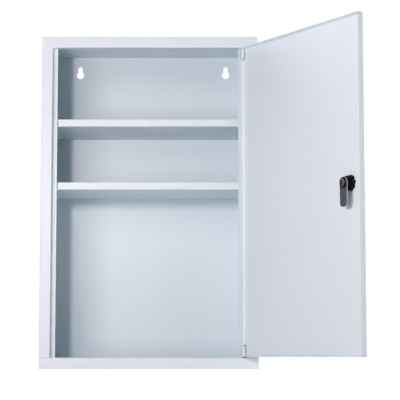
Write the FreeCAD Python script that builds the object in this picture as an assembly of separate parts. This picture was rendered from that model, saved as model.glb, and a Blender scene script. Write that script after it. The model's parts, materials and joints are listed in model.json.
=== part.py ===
import FreeCAD, Part
import math
import os

# Wall-hung first aid cabinet in folded sheet steel, door open at rest.
# Millimetres. X runs to the right, Y into the wall and Z up. The origin lies midway between
# the round parts of the two keyholes, on the back panel's rear face.

# Cabinet body
width = 300.0
height = 460.0
depth = 140.0
sheet = 0.8
bend_inside = 0.4
stile_width = 15.0
rail_height = 15.0
rail_lip = 11.2
recess_depth = 10.2
stop_width = 6.0
rear_flange = 12.0
flange_end_gap = 0.5
back_edge_gap = 0.5

# Keyholes in the back panel
key_spacing = 216.0
key_drop = 27.4
key_hole_radius = 5.5
key_slot_radius = 3.2
key_slot_rise = 9.2

# Shelves
shelf_drops = {"upper_shelf": 114.9, "lower_shelf": 203.4}
shelf_lip = 9.8
shelf_stop_gap = 1.4
shelf_seat_gap = 0.3

# Door, opened by this angle from closed at rest
rest_open_angle = 122.5
door_side_gap = 1.8
door_end_gap = 1.3
door_return = 8.9
door_bend_inside = 1.6

# Hinges: a rolled knuckle on the door turns on a rivet in each rail
pin_radius = 1.75
pin_fit = 0.05
leaf_sheet = 0.8
leaf_depth = 8.1
knuckle_length = 14.0
knuckle_inset = 0.15
knuckle_roll_gap = 1.2
notch_gap = 0.5
notch_end_gap = 2.0
door_lift_gap = 0.3
tenon_radius = 1.2
tenon_seat_gap = 0.05
rivet_head_radius = 1.5
rivet_head_height = 0.8
pin_end_gap = 0.6

# Lock body
lock_edge_distance = 28.2
lock_height = 231.6
bezel_radius = 11.0
bezel_height = 6.0
bezel_round = 1.2
barrel_radius = 8.0
barrel_flats = 14.0
barrel_length = 10.3
panel_hole_gap = 0.15
thread_gap = 0.1
washer_thickness = 0.8
washer_root_radius = 9.2
washer_tip_radius = 10.5
washer_teeth = 9
nut_flats = 18.4
nut_height = 4.2
nut_chamfer = 0.7

# Lock core
plug_radius = 5.25
plug_fit = 0.05
plug_head_radius = 6.4
plug_head_height = 1.4
plug_recess = 0.3
tang_flats = 8.0
tang_gap = 0.05
tang_short = 0.1
keyway_width = 1.6
keyway_height = 7.6
keyway_end_room = 0.9
groove_depth = 0.8
groove_side_gap = 0.2
groove_front_wall = 0.8

# Wafers and their springs
wafer_count = 5
wafer_start_gap = 0.3
wafer_pitch = 1.9
wafer_thickness = 0.8
wafer_gap = 0.05
wafer_width = 6.0
wafer_shear_gap = 0.1
wafer_window_width = 2.2
wafer_window_height = 4.6
wafer_lug_reach = 1.1
wafer_lug_low = 1.8
wafer_lug_height = 0.9
wafer_lug_room = 0.3
spring_radius = 0.38
spring_bore_radius = 0.2
spring_length = 3.0

# Cam and what holds it
stop_plate_radius = 6.5
stop_plate_thickness = 1.0
stop_lug_inner_radius = 5.5
stop_lug_depth = 1.2
stop_lug_angle = 24.0
stop_lug_room = 0.3
stop_side_angle = 2.0
lock_turn_angle = 90.0
cam_half_width = 7.0
cam_reach = 30.1
cam_thickness = 1.2
cam_tip_radius = 5.0
cam_washer_radius = 6.9
cam_washer_thickness = 0.8
bolt_radius = 2.5
bolt_gap = 0.05
bolt_washer_gap = 0.2
bolt_length = 6.0
bolt_tip_gap = 0.5
bolt_flats = 7.0
bolt_head_angle = -39.0
bolt_head_height = 1.6
bolt_chamfer = 0.4

# One overrun for every cut
overrun = 1.0

# Places that follow from the sizes
top_z = key_drop
bottom_z = top_z - height
front_y = sheet - depth
half_width = width / 2
opening_half = half_width - stile_width
opening_top = top_z - rail_height
opening_bottom = bottom_z + rail_height
stop_y = front_y + recess_depth
stop_edge = opening_half - stop_width
door_half = opening_half - door_side_gap
door_top = opening_top - door_end_gap
door_bottom = opening_bottom + door_end_gap
knuckle_radius = pin_radius + pin_fit + leaf_sheet
pivot_x = door_half - sheet - knuckle_radius
pivot_y = front_y + knuckle_inset + knuckle_radius
lock_x = lock_edge_distance - door_half
lock_z = bottom_z + lock_height
head_floor = plug_recess + plug_head_height - bezel_height
groove_low = head_floor + groove_front_wall
stop_plate_end = barrel_length + stop_plate_thickness
cam_end = stop_plate_end + cam_thickness
cam_washer_end = cam_end + cam_washer_thickness
tang_end = cam_end - tang_short

vec = FreeCAD.Vector
right_way = vec(1, 0, 0)
up_way = vec(0, 0, 1)


# Plain shapes

def box(low, high):
    """Block between two corners."""
    size = vec(*high) - vec(*low)
    return Part.makeBox(size.x, size.y, size.z, vec(*low))


def rod(radius, low_z, high_z):
    """Round bar on the Z axis."""
    return Part.makeCylinder(radius, high_z - low_z, vec(0, 0, low_z))


def slab(half_x, half_y, low_z, high_z):
    """Block centred on the Z axis."""
    return box((-half_x, -half_y, low_z), (half_x, half_y, high_z))


def polygon_face(points):
    """Flat face inside straight edges."""
    return Part.Face(Part.makePolygon(points + points[:1]))


def polar(radius, angle):
    """Point at a radius and an angle in degrees from the X axis."""
    turn = math.radians(angle)
    return vec(radius * math.cos(turn), radius * math.sin(turn), 0)


def raised(face, low_z, high_z):
    """Solid from a face drawn in X and Y, swept up Z."""
    solid = face.extrude(up_way * (high_z - low_z))
    solid.translate(up_way * low_z)
    return solid


def across(face, low_x, high_x):
    """Solid from a face drawn in Y and Z, swept along X."""
    solid = face.extrude(up_way * (high_x - low_x))
    turn = FreeCAD.Rotation(vec(1, 1, 1), 120)
    solid.Placement = FreeCAD.Placement(right_way * low_x, turn)
    return solid


def hexagon(flats, low_z, high_z, chamfer):
    """Hexagon bar with a corner on the X axis and its far end chamfered."""
    corner_radius = flats / math.sqrt(3)
    corners = [polar(corner_radius, 60 * step) for step in range(6)]
    bar = raised(polygon_face(corners), low_z, high_z)
    turned = rod(corner_radius, low_z, high_z)
    rim = [edge for edge in turned.Edges if edge.Closed and edge.CenterOfMass.z > (low_z + high_z) / 2]
    return bar.common(turned.makeChamfer(chamfer, rim))


def sector(inner_radius, outer_radius, low_z, high_z, start_angle, end_angle):
    """Part of a ring between two angles."""
    height_z = high_z - low_z
    whole = Part.makeCylinder(outer_radius, height_z, vec(0, 0, low_z), up_way, end_angle - start_angle)
    whole.rotate(vec(0, 0, 0), up_way, start_angle)
    return whole.cut(rod(inner_radius, low_z - overrun, high_z + overrun))


# Folded sheet

def beside(points, distance):
    """Path parallel to the points, at a distance to their left."""
    sides = [vec(a.y - b.y, b.x - a.x, 0).normalize() for a, b in zip(points, points[1:])]
    path = [points[0] + sides[0] * distance]
    for point, before, after in zip(points[1:], sides, sides[1:]):
        path.append(point + (before + after) * (distance / (1 + before.dot(after))))
    path.append(points[-1] + sides[-1] * distance)
    return path


def rounded_path(points, radii):
    """Edges through the points, with an arc of its radius at each inner point."""
    edges = []
    start = points[0]
    for before, corner, after, radius in zip(points, points[1:], points[2:], radii):
        back = (before - corner).normalize()
        ahead = (after - corner).normalize()
        half = back.getAngle(ahead) / 2
        first = corner + back * (radius / math.tan(half))
        last = corner + ahead * (radius / math.tan(half))
        centre = corner + (back + ahead).normalize() * (radius / math.sin(half))
        middle = centre + (corner - centre).normalize() * radius
        edges.append(Part.LineSegment(start, first).toShape())
        edges.append(Part.Arc(first, middle, last).toShape())
        start = last
    edges.append(Part.LineSegment(start, points[-1]).toShape())
    return edges


def folded(points, thickness, inside):
    """Cross-section of a folded strip: its skin follows the points, the sheet lies to their left."""
    turns = [(b - a).cross(c - b).z for a, b, c in zip(points, points[1:], points[2:])]
    outside = inside + thickness
    skin = rounded_path(points, [outside if turn > 0 else inside for turn in turns])
    inner_points = beside(points, thickness)
    inner = rounded_path(inner_points, [inside if turn > 0 else outside for turn in turns])
    ends = [
        Part.LineSegment(points[0], inner_points[0]).toShape(),
        Part.LineSegment(points[-1], inner_points[-1]).toShape(),
    ]
    return Part.Face(Part.Wire(Part.__sortEdges__(skin + inner + ends)))


def pan(half_x, half_y, rim, thickness, inside):
    """Tray with its outer floor at zero and its rim up, all folds and corners rounded."""
    outer = slab(half_x, half_y, 0, rim)
    inner = slab(half_x - thickness, half_y - thickness, thickness, rim + thickness)
    outer = outer.makeFillet(inside + thickness, edges_below(outer, rim))
    inner = inner.makeFillet(inside, edges_below(inner, rim + thickness))
    return outer.cut(inner)


def edges_below(shape, rim):
    """Edges of a block, apart from those round its rim."""
    return [edge for edge in shape.Edges if edge.BoundBox.ZMin < rim - overrun]


# Cabinet body

def make_top_panel():
    """Top sheet with its rail, the rail's lip and its rear flange, and the upper pin's hole."""
    outline = [
        vec(sheet, top_z - rear_flange, 0),
        vec(sheet, top_z, 0),
        vec(front_y, top_z, 0),
        vec(front_y, opening_top, 0),
        vec(front_y + rail_lip, opening_top, 0),
    ]
    panel = across(folded(outline, sheet, bend_inside), -half_width, half_width)
    lip_top = opening_top + sheet + bend_inside
    lip_end = box(
        (half_width - sheet, front_y + sheet, opening_top - overrun),
        (half_width + overrun, front_y + rail_lip + overrun, lip_top),
    )
    hole = rod(tenon_radius + tenon_seat_gap, opening_top - overrun, lip_top)
    hole.translate(vec(pivot_x, pivot_y, 0))
    return panel.cut([lip_end, mirrored(lip_end), hole])


def make_left_side():
    """Side wall with its stile, recess return, door stop and rear flange."""
    outline = [
        vec(rear_flange - half_width, sheet, 0),
        vec(-half_width, sheet, 0),
        vec(-half_width, front_y, 0),
        vec(-opening_half, front_y, 0),
        vec(-opening_half, stop_y, 0),
        vec(-stop_edge, stop_y, 0),
    ]
    strip = raised(folded(outline, sheet, bend_inside), opening_bottom, opening_top)
    wall_top = top_z - sheet
    wall_bottom = bottom_z + sheet
    wall_front = front_y + sheet
    wall = polygon_face([
        vec(wall_front, wall_bottom + bend_inside, 0),
        vec(wall_front + bend_inside, wall_bottom, 0),
        vec(-bend_inside, wall_bottom, 0),
        vec(0, wall_bottom + bend_inside, 0),
        vec(0, wall_top - bend_inside, 0),
        vec(-bend_inside, wall_top, 0),
        vec(wall_front + bend_inside, wall_top, 0),
        vec(wall_front, wall_top - bend_inside, 0),
    ])
    side = strip.fuse(across(wall, -half_width, sheet - half_width)).removeSplitter()
    flange_reach = rear_flange + flange_end_gap
    top_room = box((-half_width, 0, top_z - flange_reach), (-stop_edge, sheet + overrun, top_z))
    bottom_room = box((-half_width, 0, bottom_z), (-stop_edge, sheet + overrun, bottom_z + flange_reach))
    return side.cut([top_room, bottom_room])


def make_keyhole(centre_x):
    """Keyhole: a round hole for the screw's head and a slot above it for its shank."""
    hole = rod(key_hole_radius, -overrun, sheet + overrun)
    slot_end = rod(key_slot_radius, -overrun, sheet + overrun)
    slot_end.translate(vec(0, key_slot_rise, 0))
    slot = box((-key_slot_radius, 0, -overrun), (key_slot_radius, key_slot_rise, sheet + overrun))
    keyhole = hole.fuse([slot_end, slot]).removeSplitter()
    keyhole.rotate(vec(0, 0, 0), right_way, 90)
    keyhole.translate(right_way * centre_x)
    return keyhole


def make_back_panel():
    """Flat back inside the shell, in front of the rear flanges."""
    half_x = half_width - sheet - back_edge_gap
    low_z = bottom_z + sheet + back_edge_gap
    high_z = top_z - sheet - back_edge_gap
    panel = box((-half_x, -sheet, low_z), (half_x, 0, high_z))
    return panel.cut([make_keyhole(-key_spacing / 2), make_keyhole(key_spacing / 2)])


def make_shelf(drop):
    """Tray between the walls with its lips up, the front one between the door stops."""
    half_x = half_width - sheet
    half_y = (-sheet - stop_y) / 2
    tray = pan(half_x, half_y, shelf_lip, sheet, bend_inside)
    tray.translate(vec(0, stop_y + half_y, top_z - drop - shelf_lip))
    corner = box(
        (stop_edge - shelf_stop_gap, stop_y - overrun, top_z - drop - shelf_lip - overrun),
        (half_width, stop_y + sheet + shelf_seat_gap, top_z - drop + overrun),
    )
    return tray.cut([corner, mirrored(corner)])


def mirrored(shape):
    """The same shape on the other side of the cabinet's middle."""
    return shape.mirror(vec(0, 0, 0), right_way)


def flipped(shape):
    """The same shape at the cabinet's other end."""
    return shape.mirror(vec(0, 0, (top_z + bottom_z) / 2), up_way)


# Hinges, drawn at the upper corner

def make_hinge_pin(knuckle_gap):
    """Rivet: peened head, tenon in the rail's lip, collar under it and pin in the knuckle."""
    lip_top = opening_top + sheet
    collar_low = door_top + knuckle_gap
    pin_low = door_top - knuckle_length + pin_end_gap
    head = rod(rivet_head_radius, lip_top, lip_top + rivet_head_height)
    tenon = rod(tenon_radius, opening_top, lip_top)
    collar = rod(knuckle_radius, collar_low, opening_top)
    pin = rod(pin_radius, pin_low, collar_low)
    rivet = head.fuse([tenon, collar, pin]).removeSplitter()
    rivet.translate(vec(pivot_x, pivot_y, 0))
    return rivet


def make_hinge_leaf():
    """Rolled knuckle in the door's notch and its leaf, flat on the door's return."""
    bore = pin_radius + pin_fit
    low_z = door_top - knuckle_length
    flat_top = door_top - sheet - door_bend_inside
    eye = rod(knuckle_radius, low_z, door_top)
    roll_gap = box((bore - knuckle_roll_gap, 0, low_z - overrun), (bore, knuckle_radius, door_top + overrun))
    leaf_end = leaf_depth + front_y - pivot_y
    flat = box((bore, 0, low_z), (knuckle_radius, leaf_end, flat_top))
    leaf = eye.cut(roll_gap).fuse(flat).cut(rod(bore, low_z - overrun, door_top + overrun)).removeSplitter()
    leaf.translate(vec(pivot_x, pivot_y, 0))
    return leaf


# Door, drawn closed

def make_door_panel():
    """Door pan with a notch at each hinge corner and the lock's hole."""
    half_z = (door_top - door_bottom) / 2
    panel = pan(door_half, half_z, door_return, sheet, door_bend_inside)
    panel.rotate(vec(0, 0, 0), right_way, -90)
    panel.translate(vec(0, front_y, door_bottom + half_z))
    notch_low = door_top - knuckle_length - notch_end_gap
    notch = box(
        (pivot_x - knuckle_radius - notch_gap, front_y - overrun, notch_low),
        (opening_half, pivot_y + knuckle_radius + notch_gap, opening_top),
    )
    hole = on_lock_axis(flatted_rod(panel_hole_gap, -overrun, sheet + overrun))
    return panel.cut([notch, flipped(notch), hole])


def on_lock_axis(shape):
    """Lock piece drawn on Z from the door's outer face, set in the closed door."""
    placed = shape.copy()
    placed.rotate(vec(0, 0, 0), right_way, -90)
    placed.translate(vec(lock_x, front_y, lock_z))
    return placed


def opened(shape):
    """Piece of the closed door, turned with it to the rest angle."""
    turned = shape.copy()
    turned.rotate(vec(pivot_x, pivot_y, 0), up_way, rest_open_angle)
    return turned


# Lock body, drawn on the Z axis from the door's outer face inwards

def flatted_rod(gap, low_z, high_z):
    """Barrel with a flat on each side, grown by a gap."""
    round_bar = rod(barrel_radius + gap, low_z, high_z)
    return round_bar.common(slab(barrel_flats / 2 + gap, barrel_radius + gap, low_z, high_z))


def make_lock_housing():
    """Bezel and flatted barrel, bored for the plug, with wafer grooves and a stop recess."""
    bezel = rod(bezel_radius, -bezel_height, 0)
    rim = [edge for edge in bezel.Edges if edge.Closed and edge.CenterOfMass.z < -bezel_height / 2]
    body = bezel.makeFillet(bezel_round, rim).fuse(flatted_rod(0, 0, barrel_length)).removeSplitter()
    cuts = [
        rod(plug_radius + plug_fit, -bezel_height, barrel_length + overrun),
        rod(plug_head_radius + plug_fit, -bezel_height - overrun, head_floor),
        make_stop_recess(),
    ]
    groove_half = wafer_width / 2 + groove_side_gap
    groove_reach = plug_radius + groove_depth
    cuts.append(slab(groove_half, groove_reach, groove_low, barrel_length + overrun))
    cuts.append(slab(groove_reach, groove_half, groove_low, barrel_length + overrun))
    return body.cut(cuts)


def make_stop_recess():
    """Recess in the barrel's end that the stop lug travels in."""
    half_angle = stop_lug_angle / 2 + stop_side_angle
    low_z = barrel_length - stop_lug_depth - stop_lug_room
    inner_radius = plug_radius
    outer_radius = barrel_radius + overrun
    high_z = barrel_length + overrun
    return sector(inner_radius, outer_radius, low_z, high_z, 90 - half_angle, 90 + lock_turn_angle + half_angle)


def make_lock_washer():
    """Toothed washer on the door's inner face."""
    step = 360 / washer_teeth
    # Where each tooth's root and tip begin and end, as shares of its pitch
    tooth_shares = (0, 0.3, 0.42, 0.88)
    radii = (washer_root_radius, washer_root_radius, washer_tip_radius, washer_tip_radius)
    corners = []
    for tooth in range(washer_teeth):
        corners += [polar(radius, step * (tooth + share)) for radius, share in zip(radii, tooth_shares)]
    ring = raised(polygon_face(corners), sheet, sheet + washer_thickness)
    return ring.cut(rod(barrel_radius + thread_gap, 0, barrel_length))


def make_lock_nut():
    """Hexagon nut that pulls the housing against the door."""
    low_z = sheet + washer_thickness
    nut = hexagon(nut_flats, low_z, low_z + nut_height, nut_chamfer)
    return nut.cut(rod(barrel_radius + thread_gap, 0, barrel_length))


# Lock core, turned by the key

def make_lock_plug():
    """Plug with its head, square tang, keyway, bolt hole, wafer slots and spring pockets."""
    front = plug_recess - bezel_height
    head = rod(plug_head_radius, front, front + plug_head_height)
    core = rod(plug_radius, front, barrel_length)
    square = slab(tang_flats / 2, tang_flats / 2, front, tang_end)
    tang = rod(plug_radius, front, tang_end).common(square)
    plug = head.fuse([core, tang]).removeSplitter()
    bolt_hole_low = cam_washer_end - bolt_length - bolt_tip_gap
    keyway_end = wafer_low(wafer_count - 1) + wafer_thickness + keyway_end_room
    cuts = [
        slab(keyway_width / 2, keyway_height / 2, front - overrun, keyway_end),
        rod(bolt_radius + bolt_gap, bolt_hole_low, tang_end + overrun),
    ]
    cuts += [make_wafer_slot(place) for place in range(wafer_count)]
    return plug.cut(cuts)


def wafer_low(place):
    """Where a wafer starts along the lock's axis."""
    return groove_low + wafer_start_gap + wafer_pitch * place


def make_wafer_slot(place):
    """Slot across the plug for one wafer, with a side pocket for its spring."""
    low_z = wafer_low(place) - wafer_gap
    high_z = wafer_low(place) + wafer_thickness + wafer_gap
    half_x = wafer_width / 2 + wafer_gap
    slot = slab(half_x, plug_radius + overrun, low_z, high_z)
    lug_top = wafer_lug_low + wafer_lug_height + wafer_lug_room
    pocket = box(
        (0, wafer_lug_low - spring_length, low_z),
        (half_x + wafer_lug_reach, lug_top, high_z),
    )
    return slot.fuse(pocket)


def make_wafer(place):
    """Wafer level with the plug's skin, with a window for the key and a lug for its spring."""
    low_z = wafer_low(place)
    high_z = low_z + wafer_thickness
    skin = rod(plug_radius - wafer_shear_gap, low_z, high_z)
    plate = skin.common(slab(wafer_width / 2, plug_radius, low_z, high_z))
    lug = box(
        (0, wafer_lug_low, low_z),
        (wafer_width / 2 + wafer_lug_reach, wafer_lug_low + wafer_lug_height, high_z),
    )
    window = slab(wafer_window_width / 2, wafer_window_height / 2, low_z - overrun, high_z + overrun)
    return plate.fuse(lug).cut(window).removeSplitter()


def make_wafer_spring(place):
    """Spring between the pocket's floor and the wafer's lug, as its outer tube."""
    spring = rod(spring_radius, 0, spring_length).cut(rod(spring_bore_radius, -overrun, spring_length + overrun))
    spring.rotate(vec(0, 0, 0), right_way, -90)
    middle_z = wafer_low(place) + wafer_thickness / 2
    middle_x = wafer_width / 2 + wafer_lug_reach / 2
    spring.translate(vec(middle_x, wafer_lug_low - spring_length, middle_z))
    return spring


def make_cam_stop():
    """Plate on the tang, with the lug that stops the turn at both ends."""
    plate = rod(stop_plate_radius, barrel_length, stop_plate_end)
    half_angle = stop_lug_angle / 2
    lug_low = barrel_length - stop_lug_depth
    lug = sector(stop_lug_inner_radius, stop_plate_radius, lug_low, barrel_length, 90 - half_angle, 90 + half_angle)
    return plate.fuse(lug).cut(tang_hole(lug_low, stop_plate_end)).removeSplitter()


def tang_hole(low_z, high_z):
    """Square hole that fits the tang."""
    half = tang_flats / 2 + tang_gap
    return slab(half, half, low_z - overrun, high_z + overrun)


def make_lock_cam():
    """Cam plate: round at the tang, straight sides and a rounded tip."""
    tip_y = cam_reach
    corners = [
        vec(-cam_half_width, 0, 0),
        vec(-cam_half_width, tip_y, 0),
        vec(cam_half_width, tip_y, 0),
        vec(cam_half_width, 0, 0),
    ]
    sides = rounded_path(corners, [cam_tip_radius, cam_tip_radius])
    head = Part.Arc(corners[0], vec(0, -cam_half_width, 0), corners[-1]).toShape()
    outline = Part.Face(Part.Wire(Part.__sortEdges__(sides + [head])))
    return raised(outline, stop_plate_end, cam_end).cut(tang_hole(stop_plate_end, cam_end))


def make_cam_washer():
    """Plain washer under the bolt's head."""
    ring = rod(cam_washer_radius, cam_end, cam_washer_end)
    return ring.cut(rod(bolt_radius + bolt_washer_gap, cam_end - overrun, cam_washer_end + overrun))


def make_cam_bolt():
    """Square-headed bolt in the plug's tang."""
    head_end = cam_washer_end + bolt_head_height
    head = slab(bolt_flats / 2, bolt_flats / 2, cam_washer_end, head_end)
    rim = [edge for edge in head.Edges if edge.BoundBox.ZMin > (cam_washer_end + head_end) / 2]
    head = head.makeChamfer(bolt_chamfer, rim)
    head.rotate(vec(0, 0, 0), up_way, bolt_head_angle)
    shank = rod(bolt_radius, cam_washer_end - bolt_length, cam_washer_end)
    return head.fuse(shank).removeSplitter()


# The whole cabinet

def body_nodes():
    """Pieces that hang still on the wall."""
    top = make_top_panel()
    side = make_left_side()
    nodes = {
        "top_panel": top,
        "bottom_panel": flipped(top),
        "left_side_panel": side,
        "right_side_panel": mirrored(side),
        "back_panel": make_back_panel(),
        "upper_hinge_pin": make_hinge_pin(door_lift_gap),
        "lower_hinge_pin": flipped(make_hinge_pin(0)),
    }
    for name, drop in shelf_drops.items():
        nodes[name] = make_shelf(drop)
    return nodes


def door_nodes():
    """Pieces that swing with the door."""
    leaf = make_hinge_leaf()
    closed = {
        "door_panel": make_door_panel(),
        "upper_hinge_leaf": leaf,
        "lower_hinge_leaf": flipped(leaf),
        "lock_housing": on_lock_axis(make_lock_housing()),
        "lock_washer": on_lock_axis(make_lock_washer()),
        "lock_nut": on_lock_axis(make_lock_nut()),
    }
    return {name: opened(shape) for name, shape in closed.items()}


def core_nodes():
    """Pieces that turn with the key."""
    places = range(wafer_count)
    drawn = {
        "lock_plug": make_lock_plug(),
        "lock_wafers": Part.makeCompound([make_wafer(place) for place in places]),
        "wafer_springs": Part.makeCompound([make_wafer_spring(place) for place in places]),
        "cam_stop_washer": make_cam_stop(),
        "lock_cam": make_lock_cam(),
        "cam_washer": make_cam_washer(),
        "cam_bolt": make_cam_bolt(),
    }
    return {name: opened(on_lock_axis(shape)) for name, shape in drawn.items()}


def write_parts(nodes):
    """One file for each node."""
    os.makedirs("parts", exist_ok=True)
    for name, shape in nodes.items():
        shape.exportStep(os.path.join("parts", name + ".step"))


def print_places(nodes):
    """Joint places and each node's solids, for the record."""
    lock_point = opened(Part.Vertex(vec(lock_x, front_y, lock_z))).Point
    lock_axis = FreeCAD.Rotation(up_way, rest_open_angle).multVec(vec(0, 1, 0))
    print("door hinge at", pivot_x, pivot_y)
    print("lock axis at", tuple(lock_point), "along", tuple(lock_axis))
    for name, shape in nodes.items():
        print(name, len(shape.Solids), "solids", round(shape.Volume, 2), "valid", shape.isValid())


def main():
    nodes = {**body_nodes(), **door_nodes(), **core_nodes()}
    write_parts(nodes)
    print_places(nodes)


main()
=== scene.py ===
import json
import math

import bpy
from mathutils import Matrix, Vector


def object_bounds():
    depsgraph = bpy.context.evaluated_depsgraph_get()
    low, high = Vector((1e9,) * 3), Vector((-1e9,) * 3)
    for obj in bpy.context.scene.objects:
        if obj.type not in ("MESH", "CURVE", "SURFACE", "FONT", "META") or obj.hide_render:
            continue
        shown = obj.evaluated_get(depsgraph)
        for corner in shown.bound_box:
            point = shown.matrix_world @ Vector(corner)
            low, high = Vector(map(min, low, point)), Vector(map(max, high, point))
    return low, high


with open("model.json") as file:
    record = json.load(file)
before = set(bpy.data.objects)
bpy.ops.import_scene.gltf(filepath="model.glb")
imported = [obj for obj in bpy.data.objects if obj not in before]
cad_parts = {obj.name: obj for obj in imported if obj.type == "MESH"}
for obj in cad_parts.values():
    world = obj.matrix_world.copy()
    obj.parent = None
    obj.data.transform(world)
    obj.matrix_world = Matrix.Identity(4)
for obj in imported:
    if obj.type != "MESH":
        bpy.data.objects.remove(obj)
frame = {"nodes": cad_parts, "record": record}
cad_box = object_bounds()

# Wall-hung first aid cabinet in folded sheet steel, its door open.
# Metres, Z up, -Y towards the viewer.

# Camera, with its lens and sensor in millimetres
camera_place = Vector((0.0705, -2.1120, -0.4120))
camera_yaw = math.radians(-0.015)
camera_pitch = math.radians(6.093)
camera_lens = 129.45
camera_sensor = 36.0

# Softboxes: left and right edge, low and high edge, distance from the target, power in watts.
# The edges are angles in degrees, seen from the target: to the viewer's left, and up.
light_target = Vector((0, -0.18, -0.2026))
light_colour = (1.0, 0.898, 0.904)
softboxes = {
    "key": (18.5, 14.5, 3.5, 9.5, 0.64, 2.0),
    "soft_low": (32.0, 10.0, -17.0, -6.0, 2.4, 11.5),
    "soft_high": (34.0, 10.0, 6.0, 26.0, 2.4, 11.8),
    "right": (-60.0, -85.0, -5.0, 20.0, 2.4, 18.0),
    "rear_left": (155.0, 115.0, 5.0, 40.0, 2.4, 27.0),
    "rear_right": (-115.0, -155.0, 5.0, 40.0, 2.4, 22.0),
    "rear_top": (200.0, 160.0, 55.0, 80.0, 2.4, 15.0),
}

# World and floor
ambient_colour = (0.85, 0.94, 1.0, 1.0)
ambient_strength = 0.01
backdrop_colour = (1.0, 1.0, 1.0, 1.0)
backdrop_strength = 1.0
floor_drop = 0.42
floor_half = 4.0
floor_shade_radius = 0.9
floor_fade_radius = 1.9
floor_colour = (0.82, 0.88, 0.875, 1.0)

# Colours, linear
coat_colour = (0.750, 0.850, 0.905)
black_colour = (0.005, 0.005, 0.006)
washer_colour = (0.008, 0.007, 0.006)
cam_face_colour = (0.075, 0.095, 0.110)
# The cam's and bolt's edge colours are painted highlights, brighter than their faces.
cam_highlight_colour = (0.62, 0.66, 0.68)
bolt_face_colour = (0.060, 0.042, 0.026)
bolt_highlight_colour = (0.46, 0.38, 0.26)
nickel_colour = (0.62, 0.60, 0.55)
brass_colour = (0.75, 0.57, 0.27)
steel_colour = (0.55, 0.55, 0.56)
pin_colour = (0.10, 0.10, 0.105)

# Darkest and lightest shade of a mottled colour, as shares of it
coat_shades = (0.975, 1.0)
metal_shades = (0.82, 1.08)
worn_shades = (0.75, 1.3)
black_shades = (0.7, 1.5)

# Least and most roughness
coat_roughness = (0.40, 0.48)
black_roughness = (0.30, 0.45)
washer_roughness = (0.28, 0.42)
cam_roughness = (0.32, 0.46)
bolt_roughness = (0.26, 0.38)
nickel_roughness = (0.18, 0.28)
brass_roughness = (0.25, 0.35)
steel_roughness = (0.22, 0.32)
pin_roughness = (0.28, 0.40)

# Strength of the mirror reflection, where 0.5 is a common plastic's
coat_specular = 0.4
black_specular = 0.08

# Noises: repeats in a metre, and detail
coat_clouds = (9.0, 3.0)
coat_peel = (430.0, 1.5)
fine_grain = (2600.0, 2.0)
metal_mottle = (260.0, 3.0)
worn_mottle = (325.0, 3.0)
black_mottle = (2600.0 / 6, 3.0)
metal_marks = (900.0, 3.0)
brush_stretch = 24.0

# Middle part of a noise, which holds nearly all of its values
noise_low = 0.3
noise_high = 0.7

# Bumps: depth in metres, and strength
peel_bump = (0.00025, 0.16)
coat_grain_bump = (0.00004, 0.25)
black_grain_bump = (0.00004, 0.3)
marks_bump = (0.00005, 0.2)

# Way that the lock's axis runs, from the door's outside inwards.
# A plate is all painted edge highlight below the first share along it, and all face colour above
# the second.
lock_way = Vector((-0.8433914, -0.5372996, 0))
highlight_along = 0.80
face_along = 0.97


# Nodes

def add_node(tree, kind, inputs=None, **settings):
    """New shader node with its settings and input values."""
    node = tree.nodes.new(kind)
    for name, value in settings.items():
        setattr(node, name, value)
    for name, value in (inputs or {}).items():
        node.inputs[name].default_value = value
    return node


def start_material(name):
    """Material with a shader and the object's own coordinates."""
    material = bpy.data.materials.new(name)
    material.use_nodes = True
    tree = material.node_tree
    shader = tree.nodes["Principled BSDF"]
    place = add_node(tree, "ShaderNodeTexCoord").outputs["Object"]
    return material, tree, shader, place


def noise(tree, place, scale, detail):
    """Noise in the object's coordinates, from 0 to 1."""
    node = add_node(tree, "ShaderNodeTexNoise", {"Scale": scale, "Detail": detail})
    tree.links.new(place, node.inputs["Vector"])
    return node.outputs["Fac"]


def stretched(tree, place, stretch):
    """Coordinates drawn out along Z, for brushed marks."""
    node = add_node(tree, "ShaderNodeMapping", {"Scale": (1.0, 1.0, 1.0 / stretch)})
    tree.links.new(place, node.inputs["Vector"])
    return node.outputs["Vector"]


def map_range(tree, value, from_low, from_high, to_low, to_high):
    """A value carried over from one range to another, and held inside it."""
    ends = {"From Min": from_low, "From Max": from_high, "To Min": to_low, "To Max": to_high}
    node = add_node(tree, "ShaderNodeMapRange", ends)
    tree.links.new(value, node.inputs["Value"])
    return node


def spread(tree, value, low, high):
    """The middle of a noise, spread from low to high."""
    return map_range(tree, value, noise_low, noise_high, low, high).outputs["Result"]


def mottled(tree, value, colour, shades):
    """Shades of a colour, by a noise."""
    dark, light = [tuple(part * share for part in colour) for share in shades]
    node = add_node(tree, "ShaderNodeMix", data_type="RGBA")
    node.inputs["A"].default_value = (*dark, 1.0)
    node.inputs["B"].default_value = (*light, 1.0)
    tree.links.new(spread(tree, value, 0.0, 1.0), node.inputs["Factor"])
    return node.outputs["Result"]


def add_finish(tree, shader, tint, gloss, roughness):
    """Gives a shader its tint, and its roughness from a noise."""
    tree.links.new(tint, shader.inputs["Base Color"])
    tree.links.new(spread(tree, gloss, *roughness), shader.inputs["Roughness"])


def add_bump(tree, shader, layers):
    """Bumps on top of each other; each layer is a height, its depth and its strength."""
    normal = None
    for height, depth, strength in layers:
        bump = add_node(tree, "ShaderNodeBump", {"Distance": depth, "Strength": strength})
        tree.links.new(height, bump.inputs["Height"])
        if normal is not None:
            tree.links.new(normal, bump.inputs["Normal"])
        normal = bump.outputs["Normal"]
    tree.links.new(normal, shader.inputs["Normal"])


# Materials

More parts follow.
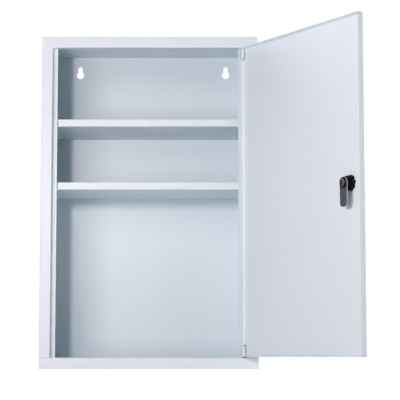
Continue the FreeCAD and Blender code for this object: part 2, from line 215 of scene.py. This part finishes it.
def make_coat():
    """Cool white semi-gloss powder coat with orange peel and slight clouding."""
    material, tree, shader, place = start_material("white_coat")
    clouds = noise(tree, place, *coat_clouds)
    peel = noise(tree, place, *coat_peel)
    grain = noise(tree, place, *fine_grain)
    add_finish(tree, shader, mottled(tree, clouds, coat_colour, coat_shades), grain, coat_roughness)
    shader.inputs["Specular IOR Level"].default_value = coat_specular
    add_bump(tree, shader, [(peel, *peel_bump), (grain, *coat_grain_bump)])
    return material


def make_metal(name, colour, roughness):
    """Bare or plated metal with a mottled tone and a fine, even grain."""
    material, tree, shader, place = start_material(name)
    mottle = noise(tree, place, *metal_mottle)
    marks = noise(tree, place, *metal_marks)
    add_finish(tree, shader, mottled(tree, mottle, colour, metal_shades), marks, roughness)
    shader.inputs["Metallic"].default_value = 1.0
    add_bump(tree, shader, [(marks, *marks_bump)])
    return material


def across_lock(tree):
    """One on faces that look along the lock's axis, zero on the edges between them, which take the
    painted highlight.
    """
    normal = add_node(tree, "ShaderNodeTexCoord").outputs["Normal"]
    along = add_node(tree, "ShaderNodeVectorMath", operation="DOT_PRODUCT")
    along.inputs[1].default_value = lock_way
    tree.links.new(normal, along.inputs[0])
    size = add_node(tree, "ShaderNodeMath", operation="ABSOLUTE")
    tree.links.new(along.outputs["Value"], size.inputs[0])
    return map_range(tree, size.outputs[0], highlight_along, face_along, 0.0, 1.0).outputs["Result"]


def make_highlit_plate(name, face_colour, highlight_colour, roughness):
    """Darkened steel plate: mottled, brushed faces, and a painted highlight on the edges round
    them.
    """
    material, tree, shader, place = start_material(name)
    mottle = noise(tree, place, *worn_mottle)
    marks = noise(tree, stretched(tree, place, brush_stretch), *metal_marks)
    # Painted highlight on the edges, the plate's own mottled colour on the faces.
    tint = add_node(tree, "ShaderNodeMix", data_type="RGBA")
    tint.inputs["A"].default_value = (*highlight_colour, 1.0)
    tree.links.new(mottled(tree, mottle, face_colour, worn_shades), tint.inputs["B"])
    tree.links.new(across_lock(tree), tint.inputs["Factor"])
    add_finish(tree, shader, tint.outputs["Result"], marks, roughness)
    shader.inputs["Metallic"].default_value = 1.0
    add_bump(tree, shader, [(marks, *marks_bump)])
    return material


def make_black(name, colour, roughness):
    """Black coating with a mottled tone and fine grain."""
    material, tree, shader, place = start_material(name)
    mottle = noise(tree, place, *black_mottle)
    grain = noise(tree, place, *fine_grain)
    add_finish(tree, shader, mottled(tree, mottle, colour, black_shades), grain, roughness)
    shader.inputs["Specular IOR Level"].default_value = black_specular
    add_bump(tree, shader, [(grain, *black_grain_bump)])
    return material


def make_materials():
    """One material for each of the record's slots."""
    return {
        "white_coat": make_coat(),
        "black_lock": make_black("black_lock", black_colour, black_roughness),
        "dark_washer": make_black("dark_washer", washer_colour, washer_roughness),
        # The cam and the bolt get a painted highlight on their edges.
        "cam_zinc": make_highlit_plate("cam_zinc", cam_face_colour, cam_highlight_colour, cam_roughness),
        "bolt_finish": make_highlit_plate("bolt_finish", bolt_face_colour, bolt_highlight_colour, bolt_roughness),
        "plug_metal": make_metal("plug_metal", nickel_colour, nickel_roughness),
        "wafer_brass": make_metal("wafer_brass", brass_colour, brass_roughness),
        "spring_steel": make_metal("spring_steel", steel_colour, steel_roughness),
        "pin_steel": make_metal("pin_steel", pin_colour, pin_roughness),
    }


def dress_nodes(materials):
    """Gives each solid of the frame its slot's material."""
    for part in frame["record"]["subparts"]:
        node = frame["nodes"][part["node"]]
        node.data.materials.clear()
        node.data.materials.append(materials[part["material_slot"]])


# Studio

def add_softbox(name, left, right, low, high, distance, power):
    """Rectangle of light that fills these angles, facing the target."""
    azimuth = math.radians(left + right) / 2
    elevation = math.radians(low + high) / 2
    way = Vector((
        -math.sin(azimuth) * math.cos(elevation),
        -math.cos(azimuth) * math.cos(elevation),
        math.sin(elevation),
    ))
    data = bpy.data.lights.new(name, "AREA")
    data.shape = "RECTANGLE"
    data.size = 2 * distance * math.tan(math.radians(left - right) / 2)
    data.size_y = 2 * distance * math.tan(math.radians(high - low) / 2)
    data.energy = power
    data.color = light_colour
    lamp = bpy.data.objects.new(name, data)
    lamp.location = light_target + way * distance
    lamp.rotation_euler = (-way).to_track_quat("-Z", "Y").to_euler()
    lamp.visible_camera = False
    bpy.context.scene.collection.objects.link(lamp)


def seen_directly(tree):
    """One where the eye, a reflection or clear matter looks straight at a surface, else zero."""
    path = add_node(tree, "ShaderNodeLightPath")
    total = path.outputs["Is Camera Ray"]
    for name in ("Is Glossy Ray", "Is Transmission Ray"):
        most = add_node(tree, "ShaderNodeMath", operation="MAXIMUM")
        tree.links.new(total, most.inputs[0])
        tree.links.new(path.outputs[name], most.inputs[1])
        total = most.outputs[0]
    return total


def mix_shaders(tree, share, first, second, output_kind):
    """Shows the first shader, and the second by its share."""
    mix = add_node(tree, "ShaderNodeMixShader")
    output = add_node(tree, output_kind)
    tree.links.new(share, mix.inputs[0])
    tree.links.new(first.outputs[0], mix.inputs[1])
    tree.links.new(second.outputs[0], mix.inputs[2])
    tree.links.new(mix.outputs[0], output.inputs["Surface"])


def add_world():
    """White to look at, a low cool light on the object."""
    world = bpy.data.worlds.new("studio")
    bpy.context.scene.world = world
    world.use_nodes = True
    tree = world.node_tree
    tree.nodes.clear()
    low_light = {"Color": ambient_colour, "Strength": ambient_strength}
    white_light = {"Color": backdrop_colour, "Strength": backdrop_strength}
    ambient = add_node(tree, "ShaderNodeBackground", low_light)
    backdrop = add_node(tree, "ShaderNodeBackground", white_light)
    mix_shaders(tree, seen_directly(tree), ambient, backdrop, "ShaderNodeOutputWorld")


def make_floor_material():
    """Pale floor that takes the shadow and fades into the white round it."""
    material = bpy.data.materials.new("floor")
    material.use_nodes = True
    tree = material.node_tree
    tree.nodes.clear()
    place = add_node(tree, "ShaderNodeTexCoord").outputs["Object"]
    reach = add_node(tree, "ShaderNodeVectorMath", operation="LENGTH")
    tree.links.new(place, reach.inputs[0])
    fade = map_range(
        tree, reach.outputs["Value"], floor_shade_radius, floor_fade_radius, 0.0, 1.0)
    fade.interpolation_type = "SMOOTHSTEP"
    share = add_node(tree, "ShaderNodeMath", operation="MULTIPLY")
    tree.links.new(fade.outputs["Result"], share.inputs[0])
    tree.links.new(seen_directly(tree), share.inputs[1])
    white_light = {"Color": backdrop_colour, "Strength": backdrop_strength}
    matt = add_node(tree, "ShaderNodeBsdfDiffuse", {"Color": floor_colour})
    glow = add_node(tree, "ShaderNodeEmission", white_light)
    mix_shaders(tree, share.outputs[0], matt, glow, "ShaderNodeOutputMaterial")
    return material


def add_floor():
    """Floor below the hanging cabinet."""
    signs = ((-1, -1), (1, -1), (1, 1), (-1, 1))
    corners = [(x * floor_half, y * floor_half, 0) for x, y in signs]
    mesh = bpy.data.meshes.new("floor")
    mesh.from_pydata(corners, [], [(0, 1, 2, 3)])
    mesh.materials.append(make_floor_material())
    floor = bpy.data.objects.new("floor", mesh)
    floor.location = (0, 0, cad_box[0].z - floor_drop)
    bpy.context.scene.collection.objects.link(floor)


def add_camera():
    """Camera at the photograph's place and angle."""
    ahead = Vector((
        math.sin(camera_yaw) * math.cos(camera_pitch),
        math.cos(camera_yaw) * math.cos(camera_pitch),
        math.sin(camera_pitch),
    ))
    right = Vector((math.cos(camera_yaw), -math.sin(camera_yaw), 0))
    up = right.cross(ahead)
    turn = Matrix((right, up, -ahead)).transposed()
    data = bpy.data.cameras.new("camera")
    data.lens = camera_lens
    data.sensor_width = camera_sensor
    camera = bpy.data.objects.new("camera", data)
    camera.matrix_world = Matrix.Translation(camera_place) @ turn.to_4x4()
    bpy.context.scene.collection.objects.link(camera)
    bpy.context.scene.camera = camera


def add_studio():
    """Camera, lights, world and floor."""
    add_camera()
    for name, settings in softboxes.items():
        add_softbox(name, *settings)
    add_world()
    add_floor()
    bpy.context.scene.view_settings.view_transform = "Standard"


dress_nodes(make_materials())
add_studio()
